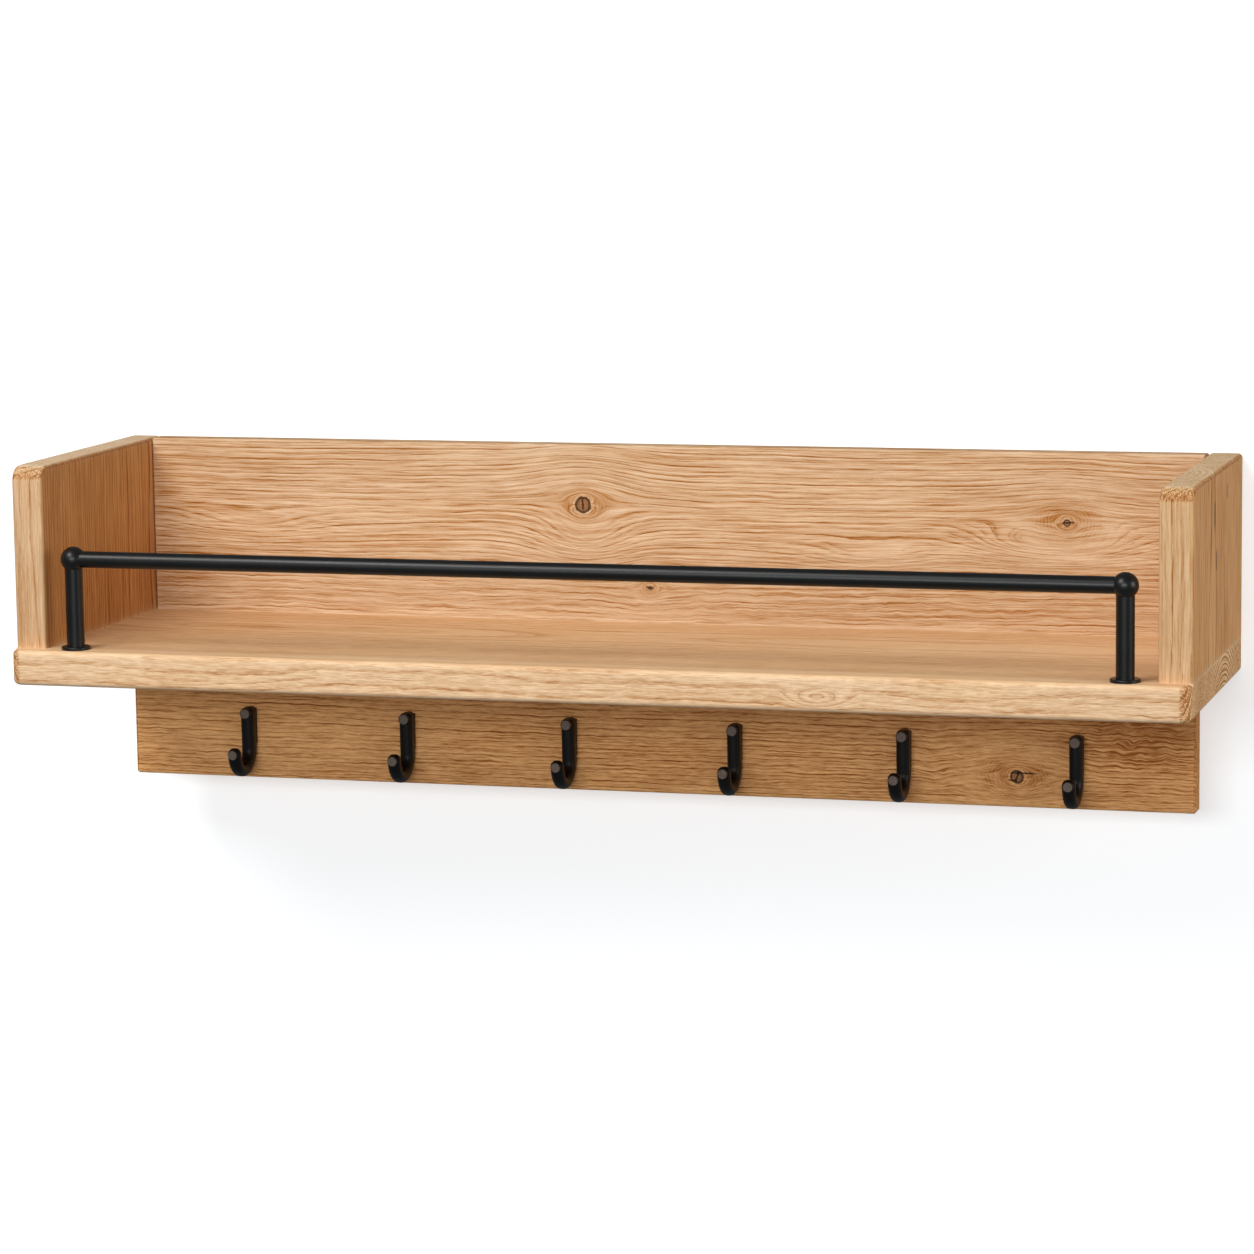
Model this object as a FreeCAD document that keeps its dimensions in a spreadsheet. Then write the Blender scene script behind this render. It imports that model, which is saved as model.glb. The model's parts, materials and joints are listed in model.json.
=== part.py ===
import FreeCAD, Part
import math
import os
import Sketcher
from FreeCAD import Placement, Rotation, Vector

# Wall hook rack: an oak shelf with two side panels and a back panel on it, a black gallery
# rail along its front, and a board of six cast J-hooks hung under it, ahead of the wall.
# Frame: X along the shelf, +Y into the wall, +Z up. The wall plane is Y = 0 and the origin
# is midway between the two hanging points on the rear face of the back panel.

DRIVING_SIZES = {
    # shelf board
    "shelf_length": "900", "shelf_depth": "250", "shelf_thickness": "27",
    "shelf_overhang": "13", "shelf_corner": "9", "shelf_round": "4", "seat_depth": "5",
    # side panels, on the shelf and flush with its ends
    "side_thickness": "25", "side_height": "139", "side_corner": "12", "side_round": "3.5",
    # back panel, between the side panels
    "back_thickness": "18", "back_gap": "0.3", "back_round": "1.5",
    # hook board, under the shelf
    "board_thickness": "18", "board_height": "99.2", "board_setback": "47", "board_round": "2.5",
    "board_lap": "1.5",
    # gallery rail
    "post_inset": "48.5", "post_setback": "15", "post_radius": "6.75", "post_chamfer": "0.4",
    "flange_radius": "11", "flange_thickness": "2.5", "flange_round": "0.8",
    "rail_height": "68.9", "rail_radius": "6.3", "rail_bore": "4.5",
    "ball_radius": "9.6", "ball_foot": "6.7", "ball_face": "7",
    "spigot_radius": "4.4", "spigot_length": "12",
    # hooks: outer bend, round bar of the bend, tip
    "hook_pitch": "132.8", "hook_offset": "5.2", "hook_drop": "41.2", "hook_width": "10.2",
    "hook_round": "4.3", "hook_corner": "4.6", "hook_stem": "13.6", "bend_radius": "21.8",
    "bend_drop": "31.4", "tip_radius": "4.9", "tip_drop": "33", "throat_radius": "10.5",
    "boss_radius": "4.3", "boss_reach": "15.2", "boss_drop": "4.6", "boss_round": "0.6",
    "tip_boss_radius": "3.95", "tip_boss_proud": "0.5",
    "foot_width": "9.2", "foot_top": "1.6", "foot_bottom": "30", "foot_depth": "6",
    # hook screws, through the board from behind
    "hook_screw_radius": "2", "hook_screw_head": "4", "hook_screw_length": "24.5",
    "hook_screw_top": "8", "hook_screw_gap": "17", "hook_screw_hole": "2.2", "hook_tap_depth": "7.5",
    # rail screws, studs and grub screws
    "rail_screw_radius": "3", "rail_screw_head": "6", "rail_screw_length": "40",
    "rail_screw_sink": "0.5", "rail_screw_hole": "3.2", "post_tap_depth": "14",
    "stud_radius": "3", "stud_length": "12", "stud_in_ball": "5",
    "grub_radius": "1.5", "grub_length": "4", "grub_inset": "8", "grub_sink": "0.3",
    # dowels
    "dowel_radius": "4", "dowel_length": "30", "dowel_chamfer": "1", "hole_spare": "0.5",
    "side_dowel_first": "40", "side_dowel_gap": "78", "back_dowel_gap": "170",
    "end_dowel_low": "40", "end_dowel_gap": "60", "board_dowel_gap": "240",
    "board_dowel_rise": "12",
    # corner braces between hook board and shelf
    "brace_leg": "30", "brace_width": "16", "brace_thickness": "2", "brace_gap": "240",
    "brace_round": "1.5", "brace_hole_near": "13", "brace_hole_far": "24",
    # wood screws
    "wood_screw_radius": "1.75", "wood_screw_head": "3.5", "wood_screw_length": "14",
    "drive_width": "0.7", "drive_reach": "1.9", "drive_depth": "1.1",
    # hanging plates, let into the rear of the back panel
    "hang_height": "95", "hang_gap": "600", "plate_radius": "9", "plate_thickness": "2",
    "plate_top": "24", "plate_bottom": "16", "keyhole_radius": "4.5", "keyhole_slot": "2.5",
    "keyhole_rise": "12", "cavity_radius": "6", "cavity_depth": "11",
    # radial clearance of holes round their screws, studs and dowels
    "clearance": "0.03",
}
HOOK_COUNT = 6
SIDE_DOWELS = 3
BACK_DOWELS = 5
BOARD_DOWELS = 4
BRACES = 3
H_AXIS, V_AXIS, ORIGIN_POINT = -1, -2, (-1, 1)
TOUCH = 1e-3  # places closer than this, in mm, count as one
START, END, CENTRE = 1, 2, 3

SHELF_TOP = "-Sizes.hang_height"
SHELF_UNDERSIDE = "-Sizes.hang_height - Sizes.shelf_thickness"
INNER_LENGTH = "(Sizes.shelf_length - 2 * Sizes.side_thickness)"
SIDE_DEPTH = "(Sizes.shelf_depth - Sizes.shelf_overhang)"
POST_X = "(Sizes.shelf_length / 2 - Sizes.post_inset)"
POST_Y = "-(Sizes.shelf_depth - Sizes.post_setback)"
DOWEL_HOLE = "Sizes.dowel_radius + Sizes.clearance"
DOWEL_DEPTH = "Sizes.dowel_length / 2 + Sizes.hole_spare"
WOOD_HOLE = "Sizes.wood_screw_radius + Sizes.clearance"

doc = FreeCAD.newDocument("WallHookRack")
sheet = doc.addObject("Spreadsheet::Sheet", "Sizes")
for row, (alias, number) in enumerate(DRIVING_SIZES.items(), start=1):
    sheet.set("A%d" % row, alias)
    sheet.set("B%d" % row, number)
    sheet.setAlias("B%d" % row, alias)
doc.recompute()

nodes = []


# ---------------------------------------------------------------- helpers

def value_of(expression):
    """The number that an expression of the sheet's sizes gives."""
    return float(sheet.evalExpression(str(expression)))


def spread(count, gap):
    """Expressions for count places, gap apart, centred on 0."""
    return ["%s * %s" % (index - (count - 1) / 2, gap) for index in range(count)]


def new_body(label, x="0", y="0", z="0"):
    """A body with its own label and a placement bound to the sheet."""
    body = doc.addObject("PartDesign::Body", label)
    body.Label = label
    for axis, expression in (("x", x), ("y", y), ("z", z)):
        body.setExpression("Placement.Base." + axis, expression)
    nodes.append(body)
    return body


def origin_part(body, role):
    """One of a body's own origin planes or axes."""
    return next(part for part in body.Origin.OriginFeatures if part.Role == role)


def new_sketch(body, plane, offset="0"):
    """A sketch on a body's origin plane, moved along the plane's normal by offset."""
    sketch = body.newObject("Sketcher::SketchObject", body.Label + "_sketch")
    sketch.AttachmentSupport = [(origin_part(body, plane), "")]
    sketch.MapMode = "FlatFace"
    sketch.setExpression("AttachmentOffset.Base.z", offset)
    return sketch


def bind(sketch, kind, *where, to):
    """A dimension bound to an expression of the sheet."""
    index = sketch.addConstraint(Sketcher.Constraint(kind, *where, value_of(to)))
    sketch.setExpression("Constraints[%d]" % index, to)


def pin(sketch, geometry, point, x, y):
    """Fixes one point of the sketch at x, y."""
    for kind, axis, expression in (("DistanceX", V_AXIS, x), ("DistanceY", H_AXIS, y)):
        if expression == "0":
            sketch.addConstraint(Sketcher.Constraint("PointOnObject", geometry, point, axis))
        else:
            bind(sketch, kind, *ORIGIN_POINT, geometry, point, to=expression)


def draw_outline(sketch, corners):
    """A closed outline of straight lines through the corners."""
    places = [Vector(value_of(x), value_of(y), 0) for x, y in corners]
    first = sketch.GeometryCount
    for start, end in zip(places, places[1:] + places[:1]):
        sketch.addGeometry(Part.LineSegment(start, end))
    for index, (x, y) in enumerate(corners):
        before = first + (index - 1) % len(corners)
        sketch.addConstraint(Sketcher.Constraint("Coincident", before, END, first + index, START))
        pin(sketch, first + index, START, x, y)


def draw_rectangle(sketch, x_low, x_high, y_low, y_high):
    draw_outline(sketch, [(x_low, y_low), (x_high, y_low), (x_high, y_high), (x_low, y_high)])


def draw_circles(sketch, centres, radius):
    for x, y in centres:
        centre = Vector(value_of(x), value_of(y), 0)
        index = sketch.addGeometry(Part.Circle(centre, Vector(0, 0, 1), value_of(radius)))
        pin(sketch, index, CENTRE, x, y)
        bind(sketch, "Radius", index, to=radius)


def draw_slot(sketch, x, y_low, y_high, radius):
    """An upright slot with half-round ends about (x, y_low) and (x, y_high)."""
    left, right = "%s - (%s)" % (x, radius), "%s + %s" % (x, radius)
    low, high = Vector(value_of(x), value_of(y_low), 0), Vector(value_of(x), value_of(y_high), 0)
    size, up = value_of(radius), Vector(0, 0, 1)
    reach = Vector(size, 0, 0)
    top = sketch.addGeometry(Part.ArcOfCircle(Part.Circle(high, up, size), 0, math.pi))
    left_line = sketch.addGeometry(Part.LineSegment(high - reach, low - reach))
    bottom = sketch.addGeometry(Part.ArcOfCircle(Part.Circle(low, up, size), math.pi, 2 * math.pi))
    right_line = sketch.addGeometry(Part.LineSegment(low + reach, high + reach))
    loop = [top, left_line, bottom, right_line]
    for before, after in zip(loop, loop[1:] + loop[:1]):
        sketch.addConstraint(Sketcher.Constraint("Tangent", before, END, after, START))
    pin(sketch, top, CENTRE, x, y_high)
    pin(sketch, bottom, CENTRE, x, y_low)
    bind(sketch, "Radius", top, to=radius)


def add_pad(body, sketch, length, reversed=False, midplane=False):
    pad = body.newObject("PartDesign::Pad", body.Label + "_pad")
    pad.Profile = sketch
    pad.setExpression("Length", length)
    pad.Reversed = reversed
    pad.Midplane = midplane
    return pad


def cut_pocket(body, sketch, depth, reversed=False):
    """A pocket, which has to take material away."""
    doc.recompute()
    before = body.Shape.Volume
    pocket = body.newObject("PartDesign::Pocket", body.Label + "_pocket")
    pocket.Profile = sketch
    pocket.setExpression("Length", depth)
    pocket.Reversed = reversed
    doc.recompute()
    if not body.Shape.Volume < before:
        raise RuntimeError("a pocket of %s cuts nothing" % body.Label)
    return pocket


def cut_holes(body, plane, centres, radius, depth, offset="0", reversed=False):
    sketch = new_sketch(body, plane, offset)
    draw_circles(sketch, centres, radius)
    return cut_pocket(body, sketch, depth, reversed)


def edge_names(feature, test):
    """The names of the feature's edges whose bounding box passes the test."""
    doc.recompute()
    edges = enumerate(feature.Shape.Edges, start=1)
    return ["Edge%d" % number for number, edge in edges if test(edge)]


def at(low, high, place):
    """True if a span lies at the place."""
    return abs(low - place) < TOUCH and abs(high - place) < TOUCH


def dress(body, kind, size, test):
    """A fillet or chamfer on the edges of the body's tip that pass the test."""
    base = body.Tip
    names = edge_names(base, test)
    feature = body.newObject("PartDesign::" + kind, body.Label + "_" + kind.lower())
    feature.Base = (base, names)
    feature.setExpression("Radius" if kind == "Fillet" else "Size", size)
    doc.recompute()
    return feature


def is_round(edge):
    return not edge.Degenerated and isinstance(edge.Curve, Part.Circle)


def countersink(body, hole_radius, size, axis, place):
    """Chamfers the rims of the holes of one radius on the face at the place along the axis."""
    def is_rim(edge):
        if not is_round(edge):
            return False
        centre = edge.Curve.Center
        return abs(edge.Curve.Radius - hole_radius) < TOUCH and abs(centre[axis] - place) < TOUCH
    return dress(body, "Chamfer", size, is_rim)


def repeat(body, features, rows):
    """Repeats features in rows: (axis role, spacing, count). The copies are separate solids."""
    steps = []
    for role, spacing, count in rows:
        step = body.newObject("PartDesign::LinearPattern", body.Label + "_row")
        step.Mode = "Spacing"
        step.Direction = (origin_part(body, role), [""])
        step.setExpression("Offset", spacing)
        step.Occurrences = count
        steps.append(step)
    grid = body.newObject("PartDesign::MultiTransform", body.Label + "_grid")
    grid.Originals = features
    grid.Transformations = steps
    body.Tip = grid


def revolve_profile(body, plane, corners):
    """Turns an outline about the sketch's upright axis."""
    sketch = new_sketch(body, plane)
    draw_outline(sketch, corners)
    turned = body.newObject("PartDesign::Revolution", body.Label + "_turned")
    turned.Profile = sketch
    turned.ReferenceAxis = (sketch, ["V_Axis"])
    turned.Angle = 360
    return turned


def countersunk_screw(body, plane, radius, head, length, sense):
    """A countersunk screw with its head's face on the origin and a cross recess.

    sense is 1 or -1: the screw points up or down the sketch's upright axis."""
    heights = ("0", "%d * (%s - %s)" % (sense, head, radius), "%d * %s" % (sense, length))
    turned = revolve_profile(body, plane, [
        ("0", "0"), (head, "0"), (radius, heights[1]), (radius, heights[2]), ("0", heights[2])])
    cross_plane = "XY_Plane" if plane == "XZ_Plane" else "XZ_Plane"
    wide, reach = "Sizes.drive_width", "Sizes.drive_reach"
    quarter = [(reach, wide), (wide, wide), (wide, reach)]
    corners = quarter + [("-" + x, y) for x, y in reversed(quarter)]
    corners += [("-" + x, "-" + y) for x, y in quarter]
    corners += [(x, "-" + y) for x, y in reversed(quarter)]
    sketch = new_sketch(body, cross_plane)
    draw_outline(sketch, corners)
    recess = cut_pocket(body, sketch, "Sizes.drive_depth", reversed=True)
    return [turned, recess]


# ---------------------------------------------------------------- oak boards

SIDE_DOWEL_PLACES = ["-(Sizes.side_dowel_first + %d * Sizes.side_dowel_gap)" % n
                     for n in range(SIDE_DOWELS)]
BACK_DOWEL_PLACES = spread(BACK_DOWELS, "Sizes.back_dowel_gap")
BOARD_DOWEL_PLACES = spread(BOARD_DOWELS, "Sizes.board_dowel_gap")
BRACE_PLACES = spread(BRACES, "Sizes.brace_gap")
HOOK_PLACES = ["Sizes.hook_offset + " + place for place in spread(HOOK_COUNT, "Sizes.hook_pitch")]
HANG_PLACES = spread(2, "Sizes.hang_gap")


def make_shelf_board():
    """Top face at local z = 0, rear edge on the wall plane."""
    body = new_body("shelf_board", z=SHELF_TOP)
    half = "Sizes.shelf_length / 2"
    sketch = new_sketch(body, "XY_Plane")
    draw_rectangle(sketch, "-" + half, half, "-Sizes.shelf_depth", "0")
    add_pad(body, sketch, "Sizes.shelf_thickness", reversed=True)
    depth, thickness = value_of("Sizes.shelf_depth"), value_of("Sizes.shelf_thickness")

    def is_front_corner(edge):
        box = edge.BoundBox
        return at(box.YMin, box.YMax, -depth) and box.ZLength > thickness / 2
    dress(body, "Fillet", "Sizes.shelf_corner", is_front_corner)

    def is_long_rim(edge):
        box = edge.BoundBox
        on_face = at(box.ZMin, box.ZMax, 0) or at(box.ZMin, box.ZMax, -thickness)
        return on_face and not at(box.YMin, box.YMax, 0)
    dress(body, "Fillet", "Sizes.shelf_round", is_long_rim)

    # the ends stay square where the side panels stand on them
    seats = new_sketch(body, "XY_Plane")
    inner = "(%s - Sizes.side_thickness)" % half
    draw_rectangle(seats, "-" + half, "-" + inner, "-" + SIDE_DEPTH, "0")
    draw_rectangle(seats, inner, half, "-" + SIDE_DEPTH, "0")
    add_pad(body, seats, "Sizes.seat_depth", reversed=True)
    doc.recompute()

    side_x = "(Sizes.shelf_length - Sizes.side_thickness) / 2"
    top_dowels = [(sign + side_x, y) for sign in ("-", "") for y in SIDE_DOWEL_PLACES]
    top_dowels += [(x, "-Sizes.back_thickness / 2") for x in BACK_DOWEL_PLACES]
    cut_holes(body, "XY_Plane", top_dowels, DOWEL_HOLE, DOWEL_DEPTH)
    board_y = "-(Sizes.board_setback + Sizes.board_thickness / 2)"
    cut_holes(body, "XY_Plane", [(x, board_y) for x in BOARD_DOWEL_PLACES], DOWEL_HOLE,
              "Sizes.board_dowel_rise + Sizes.hole_spare", offset="-Sizes.shelf_thickness",
              reversed=True)
    reach = ("Sizes.brace_hole_near", "Sizes.brace_hole_far")
    brace_holes = [(x, "-Sizes.board_setback + " + y) for x in BRACE_PLACES for y in reach]
    cut_holes(body, "XY_Plane", brace_holes, WOOD_HOLE, "Sizes.wood_screw_length",
              offset="-Sizes.shelf_thickness", reversed=True)
    rail_holes = [(sign + POST_X, POST_Y) for sign in ("-", "")]
    cut_holes(body, "XY_Plane", rail_holes, "Sizes.rail_screw_hole", "Sizes.shelf_thickness")
    countersink(body, value_of("Sizes.rail_screw_hole"),
                "Sizes.rail_screw_head - Sizes.rail_screw_hole + Sizes.rail_screw_sink",
                axis=2, place=-thickness)


def make_side_panel(label, side):
    """Local x = 0 is the panel's mid-plane, z = 0 its foot. side is -1 left, 1 right."""
    body = new_body(label, z=SHELF_TOP,
                    x="%d * (Sizes.shelf_length - Sizes.side_thickness) / 2" % side)
    sketch = new_sketch(body, "YZ_Plane")
    draw_rectangle(sketch, "-" + SIDE_DEPTH, "0", "0", "Sizes.side_height")
    add_pad(body, sketch, "Sizes.side_thickness", midplane=True)
    depth, height = value_of(SIDE_DEPTH), value_of("Sizes.side_height")

    def is_front_top(edge):
        box = edge.BoundBox
        return at(box.YMin, box.YMax, -depth) and at(box.ZMin, box.ZMax, height)
    dress(body, "Fillet", "Sizes.side_corner", is_front_top)

    def is_front_edge(edge):
        box = edge.BoundBox
        return at(box.YMin, box.YMax, -depth) and box.ZLength > height / 2
    dress(body, "Fillet", "Sizes.side_round", is_front_edge)

    cut_holes(body, "XY_Plane", [("0", y) for y in SIDE_DOWEL_PLACES], DOWEL_HOLE,
              DOWEL_DEPTH, reversed=True)
    rise = ("Sizes.end_dowel_low", "(Sizes.end_dowel_low + Sizes.end_dowel_gap)")
    cut_holes(body, "YZ_Plane", [("-Sizes.back_thickness / 2", z) for z in rise], DOWEL_HOLE,
              DOWEL_DEPTH, offset="%d * Sizes.side_thickness / 2" % -side, reversed=side > 0)


def make_back_panel():
    """Rear face on the wall plane, foot on the shelf at local z = 0."""
    body = new_body("back_panel", z=SHELF_TOP)
    half = "(%s / 2 - Sizes.back_gap)" % INNER_LENGTH
    sketch = new_sketch(body, "XZ_Plane")
    draw_rectangle(sketch, "-" + half, half, "0", "Sizes.side_height")
    add_pad(body, sketch, "Sizes.back_thickness")
    front, height = -value_of("Sizes.back_thickness"), value_of("Sizes.side_height")

    def is_eased(edge):
        box = edge.BoundBox
        upright_front = at(box.YMin, box.YMax, front) and box.ZLength > height / 2
        return upright_front or at(box.ZMin, box.ZMax, height)
    dress(body, "Fillet", "Sizes.back_round", is_eased)

    middle_y = "-Sizes.back_thickness / 2"
    cut_holes(body, "XY_Plane", [(x, middle_y) for x in BACK_DOWEL_PLACES], DOWEL_HOLE,
              DOWEL_DEPTH, reversed=True)
    rise = ("Sizes.end_dowel_low", "(Sizes.end_dowel_low + Sizes.end_dowel_gap)")
    for side in (-1, 1):
        cut_holes(body, "YZ_Plane", [(middle_y, z) for z in rise], DOWEL_HOLE,
                  DOWEL_DEPTH, offset="%d * %s" % (side, half), reversed=side < 0)

    recesses = new_sketch(body, "XZ_Plane")
    cavities = new_sketch(body, "XZ_Plane")
    for x in HANG_PLACES:
        draw_slot(recesses, x, "(Sizes.hang_height - Sizes.plate_bottom)",
                  "(Sizes.hang_height + Sizes.plate_top)", "(Sizes.plate_radius + Sizes.clearance)")
        draw_slot(cavities, x, "Sizes.hang_height",
                  "(Sizes.hang_height + Sizes.keyhole_rise)", "Sizes.cavity_radius")
    cut_pocket(body, recesses, "Sizes.plate_thickness", reversed=True)
    cut_pocket(body, cavities, "Sizes.cavity_depth", reversed=True)
    ends = ("(Sizes.hang_height - Sizes.plate_bottom)", "(Sizes.hang_height + Sizes.plate_top)")
    cut_holes(body, "XZ_Plane", [(x, z) for x in HANG_PLACES for z in ends], WOOD_HOLE,
              "Sizes.wood_screw_length + Sizes.hole_spare", reversed=True)


def make_hook_board():
    """Rear face at local y = 0, top edge against the shelf at local z = 0."""
    body = new_body("hook_board", y="-Sizes.board_setback", z=SHELF_UNDERSIDE)
    half = "(%s / 2 + Sizes.board_lap)" % INNER_LENGTH
    sketch = new_sketch(body, "XZ_Plane")
    draw_rectangle(sketch, "-" + half, half, "-Sizes.board_height", "0")
    add_pad(body, sketch, "Sizes.board_thickness")
    # every edge but those against the shelf
    dress(body, "Fillet", "Sizes.board_round", lambda edge: edge.BoundBox.ZMin < -TOUCH)

    screw_heights = ("-(Sizes.hook_drop + Sizes.hook_screw_top)",
                     "-(Sizes.hook_drop + Sizes.hook_screw_top + Sizes.hook_screw_gap)")
    cut_holes(body, "XZ_Plane", [(x, z) for x in HOOK_PLACES for z in screw_heights],
              "Sizes.hook_screw_hole", "Sizes.board_thickness", reversed=True)
    countersink(body, value_of("Sizes.hook_screw_hole"),
                "Sizes.hook_screw_head - Sizes.hook_screw_hole + Sizes.clearance", axis=1, place=0)
    cut_holes(body, "XY_Plane", [(x, "-Sizes.board_thickness / 2") for x in BOARD_DOWEL_PLACES],
              DOWEL_HOLE, "Sizes.dowel_length - Sizes.board_dowel_rise + Sizes.hole_spare")
    reach = ("-Sizes.brace_hole_near", "-Sizes.brace_hole_far")
    cut_holes(body, "XZ_Plane", [(x, z) for x in BRACE_PLACES for z in reach], WOOD_HOLE,
              "Sizes.wood_screw_length", reversed=True)


# ---------------------------------------------------------------- gallery rail

def make_rail_flange(label, side):
    """A disc on the shelf under a post."""
    body = new_body(label, x="%d * %s" % (side, POST_X), y=POST_Y, z=SHELF_TOP)
    sketch = new_sketch(body, "XY_Plane")
    draw_circles(sketch, [("0", "0")], "Sizes.flange_radius")
    draw_circles(sketch, [("0", "0")], "Sizes.rail_screw_hole")
    add_pad(body, sketch, "Sizes.flange_thickness")
    top, radius = value_of("Sizes.flange_thickness"), value_of("Sizes.flange_radius")

    def is_outer_rim(edge):
        box = edge.BoundBox
        return at(box.ZMin, box.ZMax, top) and box.XLength > radius
    dress(body, "Fillet", "Sizes.flange_round", is_outer_rim)


def make_rail_post(label, side):
    """A turned bar from its flange to the foot of its ball, tapped at both ends."""
    body = new_body(label, x="%d * %s" % (side, POST_X), y=POST_Y,
                    z=SHELF_TOP + " + Sizes.flange_thickness")
    length = "(Sizes.rail_height - Sizes.ball_foot - Sizes.flange_thickness)"
    sketch = new_sketch(body, "XY_Plane")
    draw_circles(sketch, [("0", "0")], "Sizes.post_radius")
    add_pad(body, sketch, length)
    top = value_of(length)
    dress(body, "Chamfer", "Sizes.post_chamfer",
          lambda edge: at(edge.BoundBox.ZMin, edge.BoundBox.ZMax, top))
    cut_holes(body, "XY_Plane", [("0", "0")], "Sizes.rail_screw_radius + Sizes.clearance",
              "Sizes.post_tap_depth", reversed=True)
    cut_holes(body, "XY_Plane", [("0", "0")], "Sizes.stud_radius + Sizes.clearance",
              "Sizes.stud_length - Sizes.stud_in_ball + Sizes.hole_spare", offset=length)


def make_rail_ball(label, side):
    """A ball with a flat foot on the post and a spigot inside the rail."""
    body = new_body(label, x="%d * %s" % (side, POST_X), y=POST_Y,
                    z=SHELF_TOP + " + Sizes.rail_height")
    sketch = new_sketch(body, "XZ_Plane")
    # a half section: the arc, the upright line on the axis and the flat foot
    radius, foot = value_of("Sizes.ball_radius"), value_of("Sizes.ball_foot")
    foot_radius = math.sqrt(radius ** 2 - foot ** 2)
    circle = Part.Circle(Vector(0, 0, 0), Vector(0, 0, 1), radius)
    arc = sketch.addGeometry(Part.ArcOfCircle(circle, -math.asin(foot / radius), math.pi / 2))
    spine = sketch.addGeometry(Part.LineSegment(Vector(0, radius, 0), Vector(0, -foot, 0)))
    base = sketch.addGeometry(Part.LineSegment(Vector(0, -foot, 0), Vector(foot_radius, -foot, 0)))
    loop = [arc, spine, base]
    for before, after in zip(loop, loop[1:] + loop[:1]):
        sketch.addConstraint(Sketcher.Constraint("Coincident", before, END, after, START))
    sketch.addConstraint(Sketcher.Constraint("Coincident", arc, CENTRE, *ORIGIN_POINT))
    sketch.addConstraint(Sketcher.Constraint("PointOnObject", arc, END, V_AXIS))
    sketch.addConstraint(Sketcher.Constraint("Horizontal", base))
    bind(sketch, "Radius", arc, to="Sizes.ball_radius")
    pin(sketch, spine, END, "0", "-Sizes.ball_foot")
    turned = body.newObject("PartDesign::Revolution", label + "_turned")
    turned.Profile = sketch
    turned.ReferenceAxis = (sketch, ["V_Axis"])
    turned.Angle = 360
    doc.recompute()

    face = "%d * Sizes.ball_face" % -side
    cut_holes(body, "YZ_Plane", [("0", "0")], "Sizes.ball_radius",
              "Sizes.ball_radius", offset=face, reversed=side < 0)
    spigot = new_sketch(body, "YZ_Plane", face)
    draw_circles(spigot, [("0", "0")], "Sizes.spigot_radius")
    add_pad(body, spigot, "Sizes.spigot_length", reversed=side > 0)
    doc.recompute()
    cut_holes(body, "XY_Plane", [("0", "0")], "Sizes.stud_radius + Sizes.clearance",
              "Sizes.stud_in_ball + Sizes.hole_spare", offset="-Sizes.ball_foot", reversed=True)
    grub_x = "%d * (Sizes.ball_face + Sizes.grub_inset)" % -side
    cut_holes(body, "XY_Plane", [(grub_x, "0")], "Sizes.grub_radius + Sizes.clearance",
              "Sizes.rail_radius - Sizes.grub_length",
              offset="-Sizes.rail_radius", reversed=True)


def make_rail_tube():
    """The rail between the two balls, drilled below for its grub screws."""
    body = new_body("rail_tube", y=POST_Y, z=SHELF_TOP + " + Sizes.rail_height")
    half = "(%s - Sizes.ball_face)" % POST_X
    sketch = new_sketch(body, "YZ_Plane")
    draw_circles(sketch, [("0", "0")], "Sizes.rail_radius")
    draw_circles(sketch, [("0", "0")], "Sizes.rail_bore")
    add_pad(body, sketch, "2 * " + half, midplane=True)
    doc.recompute()
    places = [("%d * (%s - Sizes.grub_inset)" % (side, half), "0") for side in (-1, 1)]
    cut_holes(body, "XY_Plane", places, "Sizes.grub_radius + Sizes.clearance", "Sizes.rail_radius")


# ---------------------------------------------------------------- hooks

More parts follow.
